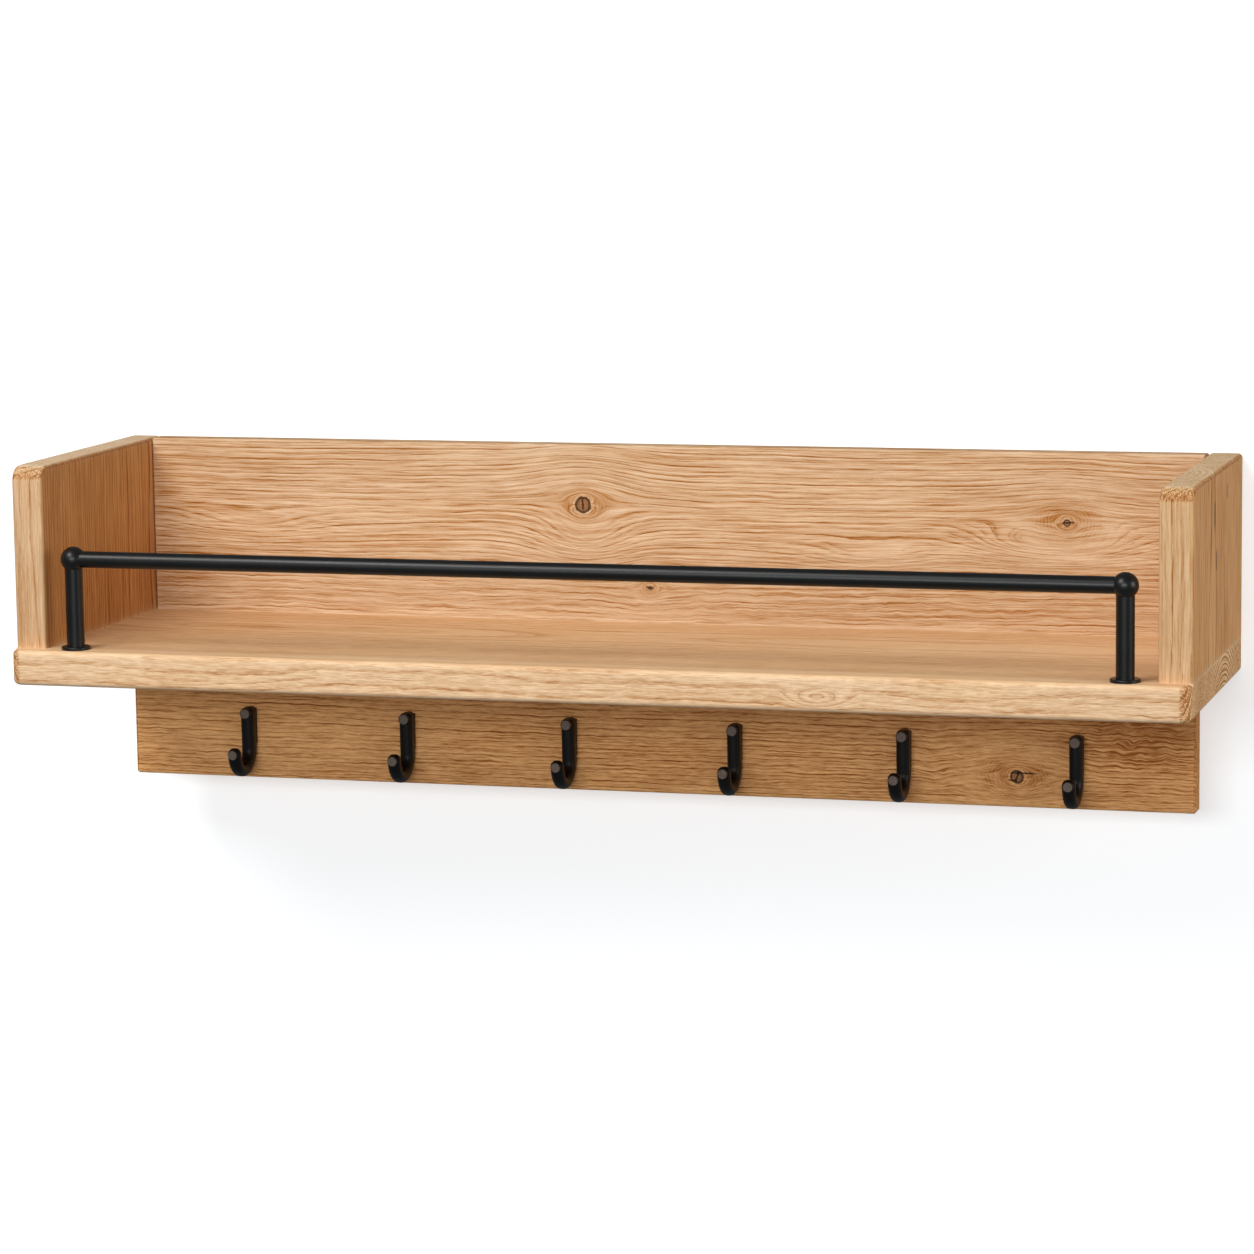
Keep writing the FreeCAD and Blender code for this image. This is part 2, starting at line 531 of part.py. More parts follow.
def draw_hook_outline(sketch):
    """The side outline of a cast J-hook: sketch x is minus the distance from the board.

    Going round: back, outer bend, tip, throat, stem, top front corner, top, top rear corner."""
    bend, drop = value_of("Sizes.bend_radius"), value_of("Sizes.bend_drop")
    tip, tip_y = value_of("Sizes.tip_radius"), -value_of("Sizes.tip_drop")
    throat, corner = value_of("Sizes.throat_radius"), value_of("Sizes.hook_corner")
    stem = value_of("Sizes.hook_stem")
    up = Vector(0, 0, 1)
    turn = math.asin((-tip_y - drop) / (bend - tip))
    tip_x = -bend - (bend - tip) * math.cos(turn)
    throat_x = tip_x + tip + throat
    # the stem is the common tangent of the throat and the top front corner
    across = Vector(corner - stem - throat_x, -corner - tip_y, 0)
    lean = math.asin((throat + corner) / across.Length) + math.atan2(across.x, across.y)
    low_end = Vector(throat_x + throat * math.cos(lean), tip_y + throat * math.sin(lean), 0)
    high_end = Vector(corner - stem - corner * math.cos(lean), -corner - corner * math.sin(lean), 0)

    def arc(x, y, radius, start, end):
        circle = Part.Circle(Vector(x, y, 0), up, radius)
        return sketch.addGeometry(Part.ArcOfCircle(circle, start, end))

    def line(start, end):
        return sketch.addGeometry(Part.LineSegment(start, end))

    back = line(Vector(0, -corner, 0), Vector(0, -drop, 0))
    outer = arc(-bend, -drop, bend, math.pi + turn, 2 * math.pi)
    tip_arc = arc(tip_x, tip_y, tip, 0, math.pi + turn)
    throat_arc = arc(throat_x, tip_y, throat, math.pi, 2 * math.pi + lean)
    stem_line = line(low_end, high_end)
    front_corner = arc(corner - stem, -corner, corner, math.pi / 2, math.pi + lean)
    top = line(Vector(corner - stem, 0, 0), Vector(-corner, 0, 0))
    rear_corner = arc(-corner, -corner, corner, 0, math.pi / 2)
    joints = [(back, END, outer, END), (outer, START, tip_arc, END),
              (tip_arc, START, throat_arc, START), (throat_arc, END, stem_line, START),
              (stem_line, END, front_corner, END), (front_corner, START, top, START),
              (top, END, rear_corner, END), (rear_corner, START, back, START)]
    for joint in joints:
        sketch.addConstraint(Sketcher.Constraint("Tangent", *joint))
    sketch.addConstraint(Sketcher.Constraint("PointOnObject", back, START, V_AXIS))
    sketch.addConstraint(Sketcher.Constraint("Vertical", back))
    sketch.addConstraint(Sketcher.Constraint("PointOnObject", top, START, H_AXIS))
    sketch.addConstraint(Sketcher.Constraint("Horizontal", top))
    for curve, alias in ((outer, "bend_radius"), (tip_arc, "tip_radius"),
                         (throat_arc, "throat_radius"), (front_corner, "hook_corner"),
                         (rear_corner, "hook_corner")):
        bind(sketch, "Radius", curve, to="Sizes." + alias)
    bind(sketch, "DistanceY", *ORIGIN_POINT, outer, CENTRE, to="-Sizes.bend_drop")
    bind(sketch, "DistanceY", *ORIGIN_POINT, tip_arc, CENTRE, to="-Sizes.tip_drop")
    bind(sketch, "DistanceY", *ORIGIN_POINT, throat_arc, CENTRE, to="-Sizes.tip_drop")
    bind(sketch, "DistanceX", *ORIGIN_POINT, front_corner, CENTRE,
         to="Sizes.hook_corner - Sizes.hook_stem")


def make_hook(label, place):
    """A cast J-hook: back on the board's face at local y = 0, top at local z = 0."""
    body = new_body(label, x=place, y="-(Sizes.board_setback + Sizes.board_thickness)",
                    z=SHELF_UNDERSIDE + " - Sizes.hook_drop")
    outline = new_sketch(body, "YZ_Plane")
    draw_hook_outline(outline)
    add_pad(body, outline, "Sizes.hook_width", midplane=True)
    half = value_of("Sizes.hook_width") / 2

    def is_side_rim(edge):
        box = edge.BoundBox
        return at(box.XMin, box.XMax, -half) or at(box.XMin, box.XMax, half)
    dress(body, "Fillet", "Sizes.hook_round", is_side_rim)

    foot = new_sketch(body, "XZ_Plane")
    draw_rectangle(foot, "-Sizes.foot_width / 2", "Sizes.foot_width / 2",
                   "-Sizes.foot_bottom", "-Sizes.foot_top")
    add_pad(body, foot, "Sizes.foot_depth")
    boss = new_sketch(body, "XZ_Plane")
    draw_circles(boss, [("0", "-Sizes.boss_drop")], "Sizes.boss_radius")
    add_pad(body, boss, "Sizes.boss_reach")
    tip_depth = "(2 * Sizes.bend_radius - Sizes.tip_radius)"
    tip_boss = new_sketch(body, "XZ_Plane", tip_depth)
    draw_circles(tip_boss, [("0", "-Sizes.tip_drop")], "Sizes.tip_boss_radius")
    add_pad(body, tip_boss, "Sizes.tip_radius + Sizes.tip_boss_proud")
    doc.recompute()
    reaches = (-value_of("Sizes.boss_reach"),
               -value_of(tip_depth + " + Sizes.tip_radius + Sizes.tip_boss_proud"))

    def is_boss_rim(edge):
        box = edge.BoundBox
        return any(at(box.YMin, box.YMax, reach) for reach in reaches)
    dress(body, "Fillet", "Sizes.boss_round", is_boss_rim)
    heights = ("-Sizes.hook_screw_top", "-(Sizes.hook_screw_top + Sizes.hook_screw_gap)")
    cut_holes(body, "XZ_Plane", [("0", z) for z in heights],
              "Sizes.hook_screw_radius + Sizes.clearance", "Sizes.hook_tap_depth", reversed=True)


# ---------------------------------------------------------------- braces and hanging plates

def make_corner_brace(label, place):
    """A bent steel angle: one leg on the shelf, one on the rear of the hook board."""
    body = new_body(label, x=place, y="-Sizes.board_setback", z=SHELF_UNDERSIDE)
    leg, thin = "Sizes.brace_leg", "Sizes.brace_thickness"
    sketch = new_sketch(body, "YZ_Plane")
    draw_outline(sketch, [("0", "0"), ("0", "-" + leg), (thin, "-" + leg), (thin, "-" + thin),
                          (leg, "-" + thin), (leg, "0")])
    add_pad(body, sketch, "Sizes.brace_width", midplane=True)
    inner = value_of(thin)

    def is_inner_bend(edge):
        box = edge.BoundBox
        return at(box.YMin, box.YMax, inner) and at(box.ZMin, box.ZMax, -inner)
    dress(body, "Fillet", "Sizes.brace_round", is_inner_bend)
    reach = ("Sizes.brace_hole_near", "Sizes.brace_hole_far")
    cut_holes(body, "XY_Plane", [("0", y) for y in reach], WOOD_HOLE, thin)
    cut_holes(body, "XZ_Plane", [("0", "-" + z) for z in reach], WOOD_HOLE, thin)
    sink = "Sizes.wood_screw_head - Sizes.wood_screw_radius"
    countersink(body, value_of(WOOD_HOLE), sink, axis=2, place=-inner)
    countersink(body, value_of(WOOD_HOLE), sink, axis=1, place=inner)


def make_keyhole_plate(label, place):
    """A plate with a keyhole, flush with the wall plane; the origin is its round entry."""
    body = new_body(label, x=place)
    sketch = new_sketch(body, "XZ_Plane")
    draw_slot(sketch, "0", "-Sizes.plate_bottom", "Sizes.plate_top", "Sizes.plate_radius")
    add_pad(body, sketch, "Sizes.plate_thickness")
    doc.recompute()
    cut_holes(body, "XZ_Plane", [("0", "0")], "Sizes.keyhole_radius", "Sizes.plate_thickness",
              reversed=True)
    slot = new_sketch(body, "XZ_Plane")
    draw_slot(slot, "0", "0", "Sizes.keyhole_rise", "Sizes.keyhole_slot")
    cut_pocket(body, slot, "Sizes.plate_thickness", reversed=True)
    cut_holes(body, "XZ_Plane", [("0", "-Sizes.plate_bottom"), ("0", "Sizes.plate_top")],
              WOOD_HOLE, "Sizes.plate_thickness", reversed=True)
    countersink(body, value_of(WOOD_HOLE), "Sizes.wood_screw_head - Sizes.wood_screw_radius",
                axis=1, place=0)


# ---------------------------------------------------------------- fasteners and dowels

def dowel(body, plane):
    """A dowel centred on the origin, with chamfered ends."""
    sketch = new_sketch(body, plane)
    draw_circles(sketch, [("0", "0")], "Sizes.dowel_radius")
    pad = add_pad(body, sketch, "Sizes.dowel_length", midplane=True)
    return [pad, dress(body, "Chamfer", "Sizes.dowel_chamfer", is_round)]


def make_dowels():
    side = new_body("side_dowels", x="-(Sizes.shelf_length - Sizes.side_thickness) / 2",
                    y=SIDE_DOWEL_PLACES[-1], z=SHELF_TOP)
    repeat(side, dowel(side, "XY_Plane"),
           [("X_Axis", "Sizes.shelf_length - Sizes.side_thickness", 2),
            ("Y_Axis", "Sizes.side_dowel_gap", SIDE_DOWELS)])
    back = new_body("back_dowels", x=BACK_DOWEL_PLACES[0], y="-Sizes.back_thickness / 2",
                    z=SHELF_TOP)
    repeat(back, dowel(back, "XY_Plane"), [("X_Axis", "Sizes.back_dowel_gap", BACK_DOWELS)])
    ends = new_body("back_end_dowels", x="-%s / 2" % INNER_LENGTH, y="-Sizes.back_thickness / 2",
                    z=SHELF_TOP + " + Sizes.end_dowel_low")
    repeat(ends, dowel(ends, "YZ_Plane"),
           [("X_Axis", INNER_LENGTH, 2), ("Z_Axis", "Sizes.end_dowel_gap", 2)])
    # these reach further into the board than into the shelf
    board = new_body("hook_board_dowels", x=BOARD_DOWEL_PLACES[0],
                     y="-(Sizes.board_setback + Sizes.board_thickness / 2)",
                     z=SHELF_UNDERSIDE + " + Sizes.board_dowel_rise - Sizes.dowel_length / 2")
    repeat(board, dowel(board, "XY_Plane"), [("X_Axis", "Sizes.board_dowel_gap", BOARD_DOWELS)])


def make_hook_screws():
    body = new_body("hook_screws", x=HOOK_PLACES[0], y="-Sizes.board_setback",
                    z=SHELF_UNDERSIDE + " - Sizes.hook_drop - Sizes.hook_screw_top"
                    " - Sizes.hook_screw_gap")
    screw = countersunk_screw(body, "XY_Plane", "Sizes.hook_screw_radius",
                              "Sizes.hook_screw_head", "Sizes.hook_screw_length", -1)
    repeat(body, screw, [("X_Axis", "Sizes.hook_pitch", HOOK_COUNT),
                         ("Z_Axis", "Sizes.hook_screw_gap", 2)])


def make_rail_fasteners():
    screws = new_body("rail_screws", x="-" + POST_X, y=POST_Y,
                      z=SHELF_UNDERSIDE + " + Sizes.rail_screw_sink")
    repeat(screws, countersunk_screw(screws, "XZ_Plane", "Sizes.rail_screw_radius",
                                     "Sizes.rail_screw_head", "Sizes.rail_screw_length", 1),
           [("X_Axis", "2 * " + POST_X, 2)])
    studs = new_body("rail_studs", x="-" + POST_X, y=POST_Y,
                     z=SHELF_TOP + " + Sizes.rail_height - Sizes.ball_foot + Sizes.stud_in_ball")
    sketch = new_sketch(studs, "XY_Plane")
    draw_circles(sketch, [("0", "0")], "Sizes.stud_radius")
    repeat(studs, [add_pad(studs, sketch, "Sizes.stud_length", reversed=True)],
           [("X_Axis", "2 * " + POST_X, 2)])
    inset = "(%s - Sizes.ball_face - Sizes.grub_inset)" % POST_X
    grubs = new_body("rail_grub_screws", x="-" + inset, y=POST_Y,
                     z=SHELF_TOP + " + Sizes.rail_height - Sizes.rail_radius + Sizes.grub_sink")
    sketch = new_sketch(grubs, "XY_Plane")
    draw_circles(sketch, [("0", "0")], "Sizes.grub_radius")
    repeat(grubs, [add_pad(grubs, sketch, "Sizes.grub_length - 2 * Sizes.grub_sink")],
           [("X_Axis", "2 * " + inset, 2)])


def make_wood_screws():
    def wood_screw(body, plane, sense):
        return countersunk_screw(body, plane, "Sizes.wood_screw_radius",
                                 "Sizes.wood_screw_head", "Sizes.wood_screw_length", sense)
    hole_gap = "Sizes.brace_hole_far - Sizes.brace_hole_near"
    shelf = new_body("brace_shelf_screws", x=BRACE_PLACES[0],
                     y="-Sizes.board_setback + Sizes.brace_hole_near",
                     z=SHELF_UNDERSIDE + " - Sizes.brace_thickness")
    repeat(shelf, wood_screw(shelf, "XZ_Plane", 1),
           [("X_Axis", "Sizes.brace_gap", BRACES), ("Y_Axis", hole_gap, 2)])
    board = new_body("brace_board_screws", x=BRACE_PLACES[0],
                     y="-Sizes.board_setback + Sizes.brace_thickness",
                     z=SHELF_UNDERSIDE + " - Sizes.brace_hole_far")
    repeat(board, wood_screw(board, "XY_Plane", -1),
           [("X_Axis", "Sizes.brace_gap", BRACES), ("Z_Axis", hole_gap, 2)])
    plates = new_body("keyhole_plate_screws", x=HANG_PLACES[0], z="-Sizes.plate_bottom")
    repeat(plates, wood_screw(plates, "XY_Plane", -1),
           [("X_Axis", "Sizes.hang_gap", 2),
            ("Z_Axis", "Sizes.plate_bottom + Sizes.plate_top", 2)])


# ---------------------------------------------------------------- build and write

make_shelf_board()
make_back_panel()
make_hook_board()
make_rail_tube()
for name, side in (("left", -1), ("right", 1)):
    make_side_panel("side_panel_" + name, side)
    make_rail_flange("rail_flange_" + name, side)
    make_rail_post("rail_post_" + name, side)
    make_rail_ball("rail_ball_" + name, side)
for number, place in enumerate(HOOK_PLACES, start=1):
    make_hook("hook_%d" % number, place)
for name, place in zip(("left", "middle", "right"), BRACE_PLACES):
    make_corner_brace("corner_brace_" + name, place)
for name, place in zip(("left", "right"), HANG_PLACES):
    make_keyhole_plate("keyhole_plate_" + name, place)
make_dowels()
make_hook_screws()
make_rail_fasteners()
make_wood_screws()
doc.recompute()

for item in doc.Objects:
    if "Invalid" in item.State or "Error" in item.State:
        raise RuntimeError("%s failed: %s" % (item.Name, item.State))
for body in nodes:
    if body.Shape.isNull() or not body.Shape.isValid():
        raise RuntimeError("%s has no valid shape" % body.Label)

os.makedirs("parts", exist_ok=True)
for body in nodes:
    body.Shape.exportStep("parts/%s.step" % body.Label)
    box = body.Shape.BoundBox
    print("%-22s solids %2d  volume %10.1f  x %7.1f %7.1f  y %7.1f %7.1f  z %7.1f %7.1f" % (
        body.Label, len(body.Shape.Solids), body.Shape.Volume,
        box.XMin, box.XMax, box.YMin, box.YMax, box.ZMin, box.ZMax))
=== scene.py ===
import json
import math
from collections import namedtuple

import bpy
from mathutils import Matrix, Vector


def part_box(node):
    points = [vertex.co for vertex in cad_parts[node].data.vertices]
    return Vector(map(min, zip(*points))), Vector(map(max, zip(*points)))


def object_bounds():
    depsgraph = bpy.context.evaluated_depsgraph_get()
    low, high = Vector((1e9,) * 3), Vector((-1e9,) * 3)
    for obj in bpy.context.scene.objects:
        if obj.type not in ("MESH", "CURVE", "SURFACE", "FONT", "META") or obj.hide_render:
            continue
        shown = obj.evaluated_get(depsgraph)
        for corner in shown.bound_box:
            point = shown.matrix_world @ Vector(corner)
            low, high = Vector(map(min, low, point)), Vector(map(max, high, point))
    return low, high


# Looks of the wall hook rack: oak boards, a satin black rail and cast black hooks.
# Lengths in the material builders are in millimetres, in the rack's own frame.

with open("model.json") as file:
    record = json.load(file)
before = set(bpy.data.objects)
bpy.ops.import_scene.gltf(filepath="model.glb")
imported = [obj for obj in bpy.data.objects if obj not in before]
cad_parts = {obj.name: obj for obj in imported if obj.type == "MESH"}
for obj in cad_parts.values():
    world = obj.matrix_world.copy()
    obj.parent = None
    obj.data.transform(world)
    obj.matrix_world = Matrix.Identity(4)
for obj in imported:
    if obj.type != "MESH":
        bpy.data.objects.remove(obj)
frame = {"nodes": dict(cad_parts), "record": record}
cad_low, cad_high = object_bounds()
nodes = frame["nodes"]


# ---------------------------------------------------------------- node building

class Graph:
    """Builds one material's nodes. Values are sockets or plain numbers."""

    def __init__(self, name):
        self.material = bpy.data.materials.new(name)
        self.material.use_nodes = True
        self.tree = self.material.node_tree
        self.tree.nodes.clear()
        coordinates = self.node("ShaderNodeTexCoord")
        self.place = self.vector("SCALE", coordinates.outputs["Object"], scale=1000.0)
        self.x, self.y, self.z = self.parts(self.place)
        self.normal = coordinates.outputs["Normal"]

    def node(self, kind, **settings):
        made = self.tree.nodes.new(kind)
        for key, value in settings.items():
            setattr(made, key, value)
        return made

    def put(self, value, socket):
        if isinstance(value, bpy.types.NodeSocket):
            self.tree.links.new(value, socket)
        else:
            socket.default_value = value

    def maths(self, operation, *values, clamp=False):
        made = self.node("ShaderNodeMath", operation=operation, use_clamp=clamp)
        for value, socket in zip(values, made.inputs):
            self.put(value, socket)
        return made.outputs[0]

    def add(self, *values):
        total = values[0]
        for value in values[1:]:
            total = self.maths("ADD", total, value)
        return total

    def sub(self, a, b):
        return self.maths("SUBTRACT", a, b)

    def mul(self, *values):
        total = values[0]
        for value in values[1:]:
            total = self.maths("MULTIPLY", total, value)
        return total

    def length(self, *values):
        squares = [self.mul(value, value) for value in values]
        return self.maths("SQRT", self.add(*squares))

    def vector(self, operation, *values, scale=None):
        made = self.node("ShaderNodeVectorMath", operation=operation)
        for value, socket in zip(values, made.inputs):
            self.put(value, socket)
        if scale is not None:
            self.put(scale, made.inputs["Scale"])
        return made.outputs["Value" if operation in ("LENGTH", "DOT_PRODUCT") else "Vector"]

    def parts(self, vector):
        made = self.node("ShaderNodeSeparateXYZ")
        self.put(vector, made.inputs[0])
        return list(made.outputs)

    def combine(self, x, y, z):
        made = self.node("ShaderNodeCombineXYZ")
        for value, socket in zip((x, y, z), made.inputs):
            self.put(value, socket)
        return made.outputs[0]

    def smooth(self, value, low, high, to_low=0.0, to_high=1.0):
        """A smooth step of value from low to high."""
        made = self.node("ShaderNodeMapRange", interpolation_type="SMOOTHSTEP")
        for key, number in (("Value", value), ("From Min", low), ("From Max", high),
                            ("To Min", to_low), ("To Max", to_high)):
            self.put(number, made.inputs[key])
        return made.outputs["Result"]

    def noise(self, x, y, z, detail=2.0, roughness=0.5, distortion=0.0, seed=0.0):
        """Smooth noise, about 0.5 on average, of coordinates already divided by its grain size."""
        made = self.node("ShaderNodeTexNoise", noise_dimensions="3D")
        shifted = self.combine(self.add(x, seed), self.add(y, 0.37 * seed), z)
        self.put(shifted, made.inputs["Vector"])
        self.put(1.0, made.inputs["Scale"])
        self.put(detail, made.inputs["Detail"])
        self.put(roughness, made.inputs["Roughness"])
        self.put(distortion, made.inputs["Distortion"])
        return made.outputs[0]

    def swing(self, noise, size):
        """Noise turned into plus or minus about size."""
        return self.mul(self.sub(noise, 0.5), 2.0 * size)

    def blend(self, factor, a, b, kind="MIX"):
        made = self.node("ShaderNodeMix", data_type="RGBA", blend_type=kind)
        self.put(factor, made.inputs["Factor"])
        self.put(a, made.inputs["A"])
        self.put(b, made.inputs["B"])
        return made.outputs["Result"]

    def ramp(self, factor, stops):
        made = self.node("ShaderNodeValToRGB")
        points = made.color_ramp.elements
        while len(points) < len(stops):
            points.new(0.5)
        for point, (position, colour) in zip(points, stops):
            point.position = position
            point.color = colour
        self.put(factor, made.inputs[0])
        return made.outputs[0]

    def finish(self, colour, roughness, height=None, depth=0.1, strength=0.5, **constants):
        """The shader: depth is the relief in mm that a height of 1 stands for."""
        shader = self.node("ShaderNodeBsdfPrincipled")
        self.put(colour, shader.inputs["Base Color"])
        self.put(roughness, shader.inputs["Roughness"])
        for key, value in constants.items():
            shader.inputs[key.replace("_", " ")].default_value = value
        if height is not None:
            bump = self.node("ShaderNodeBump")
            bump.inputs["Strength"].default_value = strength
            bump.inputs["Distance"].default_value = depth / 1000.0
            self.put(height, bump.inputs["Height"])
            self.put(bump.outputs[0], shader.inputs["Normal"])
        output = self.node("ShaderNodeOutputMaterial")
        self.put(shader.outputs[0], output.inputs["Surface"])
        return self.material


def rgb(red, green, blue):
    """A screen colour, 0 to 255, as linear light."""
    def linear(value):
        value /= 255.0
        return value / 12.92 if value <= 0.04045 else ((value + 0.055) / 1.055) ** 2.4
    return (linear(red), linear(green), linear(blue), 1.0)


# ---------------------------------------------------------------- oak

# Features of a board's grain. Places are in mm in the rack's frame, along the grain and
# across the face, or through the thickness. Sizes are half lengths and half widths in mm.
# A knot parts the fibres round its clear radius, has a dark core with oval rings out to
# their reach, an arch of fibres over it, and a crack at an angle in degrees.
Knot = namedtuple("Knot", "along across clear core reach arch arch_long arch_wide "
                          "crack_angle crack_long crack_offset")
# A split is a short drying crack along the grain.
Split = namedtuple("Split", "along across long wide")
# A hill bends the rings into closed loops on the face, a swirl on a narrow edge.
Hill = namedtuple("Hill", "along across height long wide")
Swirl = namedtuple("Swirl", "along through height long thick")
# A curl is a patch of wavier fibres, darker by its stain. In most patches the stain is the wood's
# own. In three patches it is painted light and shade instead: the shade at the hook board's top,
# the left panel's shadow on the back panel, and the light along the shelf's front edge.
Curl = namedtuple("Curl", "along across long wide size stain")

OVAL_STRETCH = 1.35    # how much longer than wide the ovals round a knot are
OVAL_SPACING = 1.9     # mm between two oval rings
RING_TONE, FIBRE_TONE, PORE_TONE, BASE_TONE = 0.54, 0.66, 0.20, 0.25
HALO_TONE, PALE_RIM_TONE, END_TONE, BROAD_TONE = 0.25, -0.30, -0.04, 0.19
HEART, BARK = rgb(162, 112, 72), rgb(92, 60, 38)
RIM_COLOUR, CRACK_COLOUR = rgb(56, 36, 24), rgb(44, 27, 17)
WARM_CAST = (0.98, 0.90, 0.78, 1.0)


class Board(Graph):
    """The graph of one board: l, v and w are mm from its middle along, across and through."""

    def __init__(self, name, node, axes, seed):
        super().__init__(name)
        self.along, self.across, self.through = axes
        self.seed = seed
        low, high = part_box(node)
        self.middle = {axis: 500.0 * (low[i] + high[i]) for i, axis in enumerate("xyz")}
        self.half = {axis: 500.0 * (high[i] - low[i]) for i, axis in enumerate("xyz")}
        self.raw = {"x": self.x, "y": self.y, "z": self.z}
        self.l, self.v, self.w = (self.sub(self.raw[axis], self.middle[axis]) for axis in axes)

    def facing(self, axis):
        return self.parts(self.normal)["xyz".index(axis)]

    def grain(self, sizes, layer, detail=2, roughness=0.5, v=None):
        """Noise with its grain sizes in mm along, across and through. A layer has its own noise."""
        places = (self.l, self.v if v is None else v, self.w)
        scaled = [self.mul(place, 1 / size) for place, size in zip(places, sizes)]
        return self.noise(*scaled, detail, roughness, seed=self.seed + layer)

    def offsets(self, along, across):
        """How far l and v are from a place in the rack's frame."""
        return (self.sub(self.l, along - self.middle[self.along]),
                self.sub(self.v, across - self.middle[self.across]))

    def bell(self, a, b, size_a, size_b):
        """1 where a and b are 0, falling off smoothly over their sizes."""
        a, b = self.mul(a, 1 / size_a), self.mul(b, 1 / size_b)
        return self.maths("EXPONENT", self.mul(self.add(self.mul(a, a), self.mul(b, b)), -1.0))

    def band(self, value, inner_low, inner_high, outer_high, outer_low):
        """1 between the inner and outer edges, 0 outside them."""
        return self.mul(self.smooth(value, inner_low, inner_high),
                        self.smooth(value, outer_low, outer_high))

    def growth(self, radius, steepness, sharpness):
        """Rings one unit of radius apart: a sharp dark start that fades outwards."""
        phase = self.maths("FRACT", radius)
        fading = self.maths("POWER", self.sub(1.0, phase), steepness)
        return self.mul(fading, self.smooth(phase, 0.0, sharpness))


class Marks:
    """What knots and splits leave on a board's face, each from 0 to about 1."""
    ovals = eye = halo = core = core_rim = pale_rim = crack = 0.0


def fibre_flow(g, wave, tremble, curls):
    """Where each fibre lies across the board: slow bends, and a tremor of single fibres."""
    bend = g.swing(g.grain((210, 90, 90), layer=0), wave)
    curl, stain = tremble, 0.0
    for patch in curls:
        here = g.bell(*g.offsets(patch.along, patch.across), patch.long, patch.wide)
        curl = g.add(curl, g.mul(patch.size, here))
        stain = g.add(stain, g.mul(patch.stain, here))
    coarse = g.sub(g.grain((24, 8, 8), layer=7), 0.5)
    fine = g.sub(g.grain((11, 17, 17), layer=8, detail=1), 0.5)
    waver = g.add(coarse, g.mul(0.8, fine))
    return g.add(g.v, bend, g.mul(2.0, waver, curl)), waver, stain


def part_round_knots(g, flow, waver, knots, marks):
    """Pushes the fibres aside at each knot and records its rings, core and crack in marks."""
    for knot in knots:
        dl, dv = g.offsets(knot.along, knot.across)
        flat = g.mul(dl, 1 / OVAL_STRETCH)
        squares = g.add(g.mul(flat, flat), g.mul(dv, dv))
        clear = knot.clear ** 2
        push = g.maths("DIVIDE", clear, g.maths("MAXIMUM", squares, clear))
        flow = g.sub(flow, g.mul(dv, push))
        bow = g.maths("TANH", g.mul(dv, 0.75 / max(knot.arch, 1.0)))
        spread = g.bell(dl, dv, knot.arch_long, knot.arch_wide)
        flow = g.sub(flow, g.mul(knot.arch, bow, spread))

        dent = g.noise(g.mul(dl, 1 / 3.5), g.mul(dv, 1 / 3.5), g.mul(g.w, 1 / 9), 2,
                       seed=g.seed + 3)
        oval = g.add(g.maths("SQRT", squares), g.swing(dent, 0.9), g.mul(3.4, waver))
        layer = g.growth(g.mul(oval, 1 / OVAL_SPACING), steepness=3.0, sharpness=0.12)
        reach = knot.reach
        marks.ovals = g.add(marks.ovals, g.mul(layer, g.smooth(oval, reach, 0.55 * reach)))
        marks.eye = g.add(marks.eye, g.smooth(oval, 1.7 * reach, 0.7 * reach))
        shade = g.smooth(g.length(g.mul(dl, 0.55), dv), 0.95 * reach, 0.15 * reach)
        marks.halo = g.add(marks.halo, shade)

        core = knot.core
        ragged = g.add(g.length(dl, dv), g.swing(dent, 0.24 * core))
        marks.core = g.add(marks.core, g.smooth(ragged, core * 1.05, core * 0.8))
        dark = g.band(ragged, core * 0.70, core * 0.90, core * 1.08, core * 1.26)
        marks.core_rim = g.add(marks.core_rim, dark)
        pale = g.band(ragged, core * 1.12, core * 1.3, core * 1.38, core * 1.62)
        marks.pale_rim = g.add(marks.pale_rim, g.mul(core / 6.0, pale))

        turn = math.radians(knot.crack_angle)
        run = g.add(g.mul(dl, math.cos(turn)), g.mul(dv, math.sin(turn)), -knot.crack_offset)
        crooked = g.swing(g.noise(g.mul(run, 1 / 4), g.seed, 0.0, 2), 1.3)
        aside = g.add(g.mul(dl, -math.sin(turn)), g.mul(dv, math.cos(turn)), crooked)
        narrow = g.smooth(g.maths("ABSOLUTE", aside), 1.0, 0.3)
        short = g.smooth(g.maths("ABSOLUTE", run), knot.crack_long, 0.6 * knot.crack_long)
        marks.crack = g.add(marks.crack, g.mul(narrow, short))
    return flow


def split_face(g, splits, marks):
    for split in splits:
        dl, dv = (g.maths("ABSOLUTE", offset) for offset in g.offsets(split.along, split.across))
        narrow = g.smooth(dv, split.wide, 0.3 * split.wide)
        short = g.smooth(dl, split.long, 0.4 * split.long)
        marks.crack = g.add(marks.crack, g.mul(narrow, short))


def lifted_rings(g, hills, swirls):
    """How far hills and swirls lift the ring radius in mm, and how much they calm the rings."""
    lift, calm = 0.0, 0.0
    for hill in hills:
        here = g.bell(*g.offsets(hill.along, hill.across), hill.long, hill.wide)
        lift = g.add(lift, g.mul(hill.height, here))
        calm = g.add(calm, g.mul(here, 0.4))
    for swirl in swirls:
        dl = g.sub(g.l, swirl.along - g.middle[g.along])
        dw = g.sub(g.w, swirl.through - g.middle[g.through])
        lift = g.add(lift, g.mul(swirl.height, g.bell(dl, dw, swirl.long, swirl.thick)))
    return lift, calm


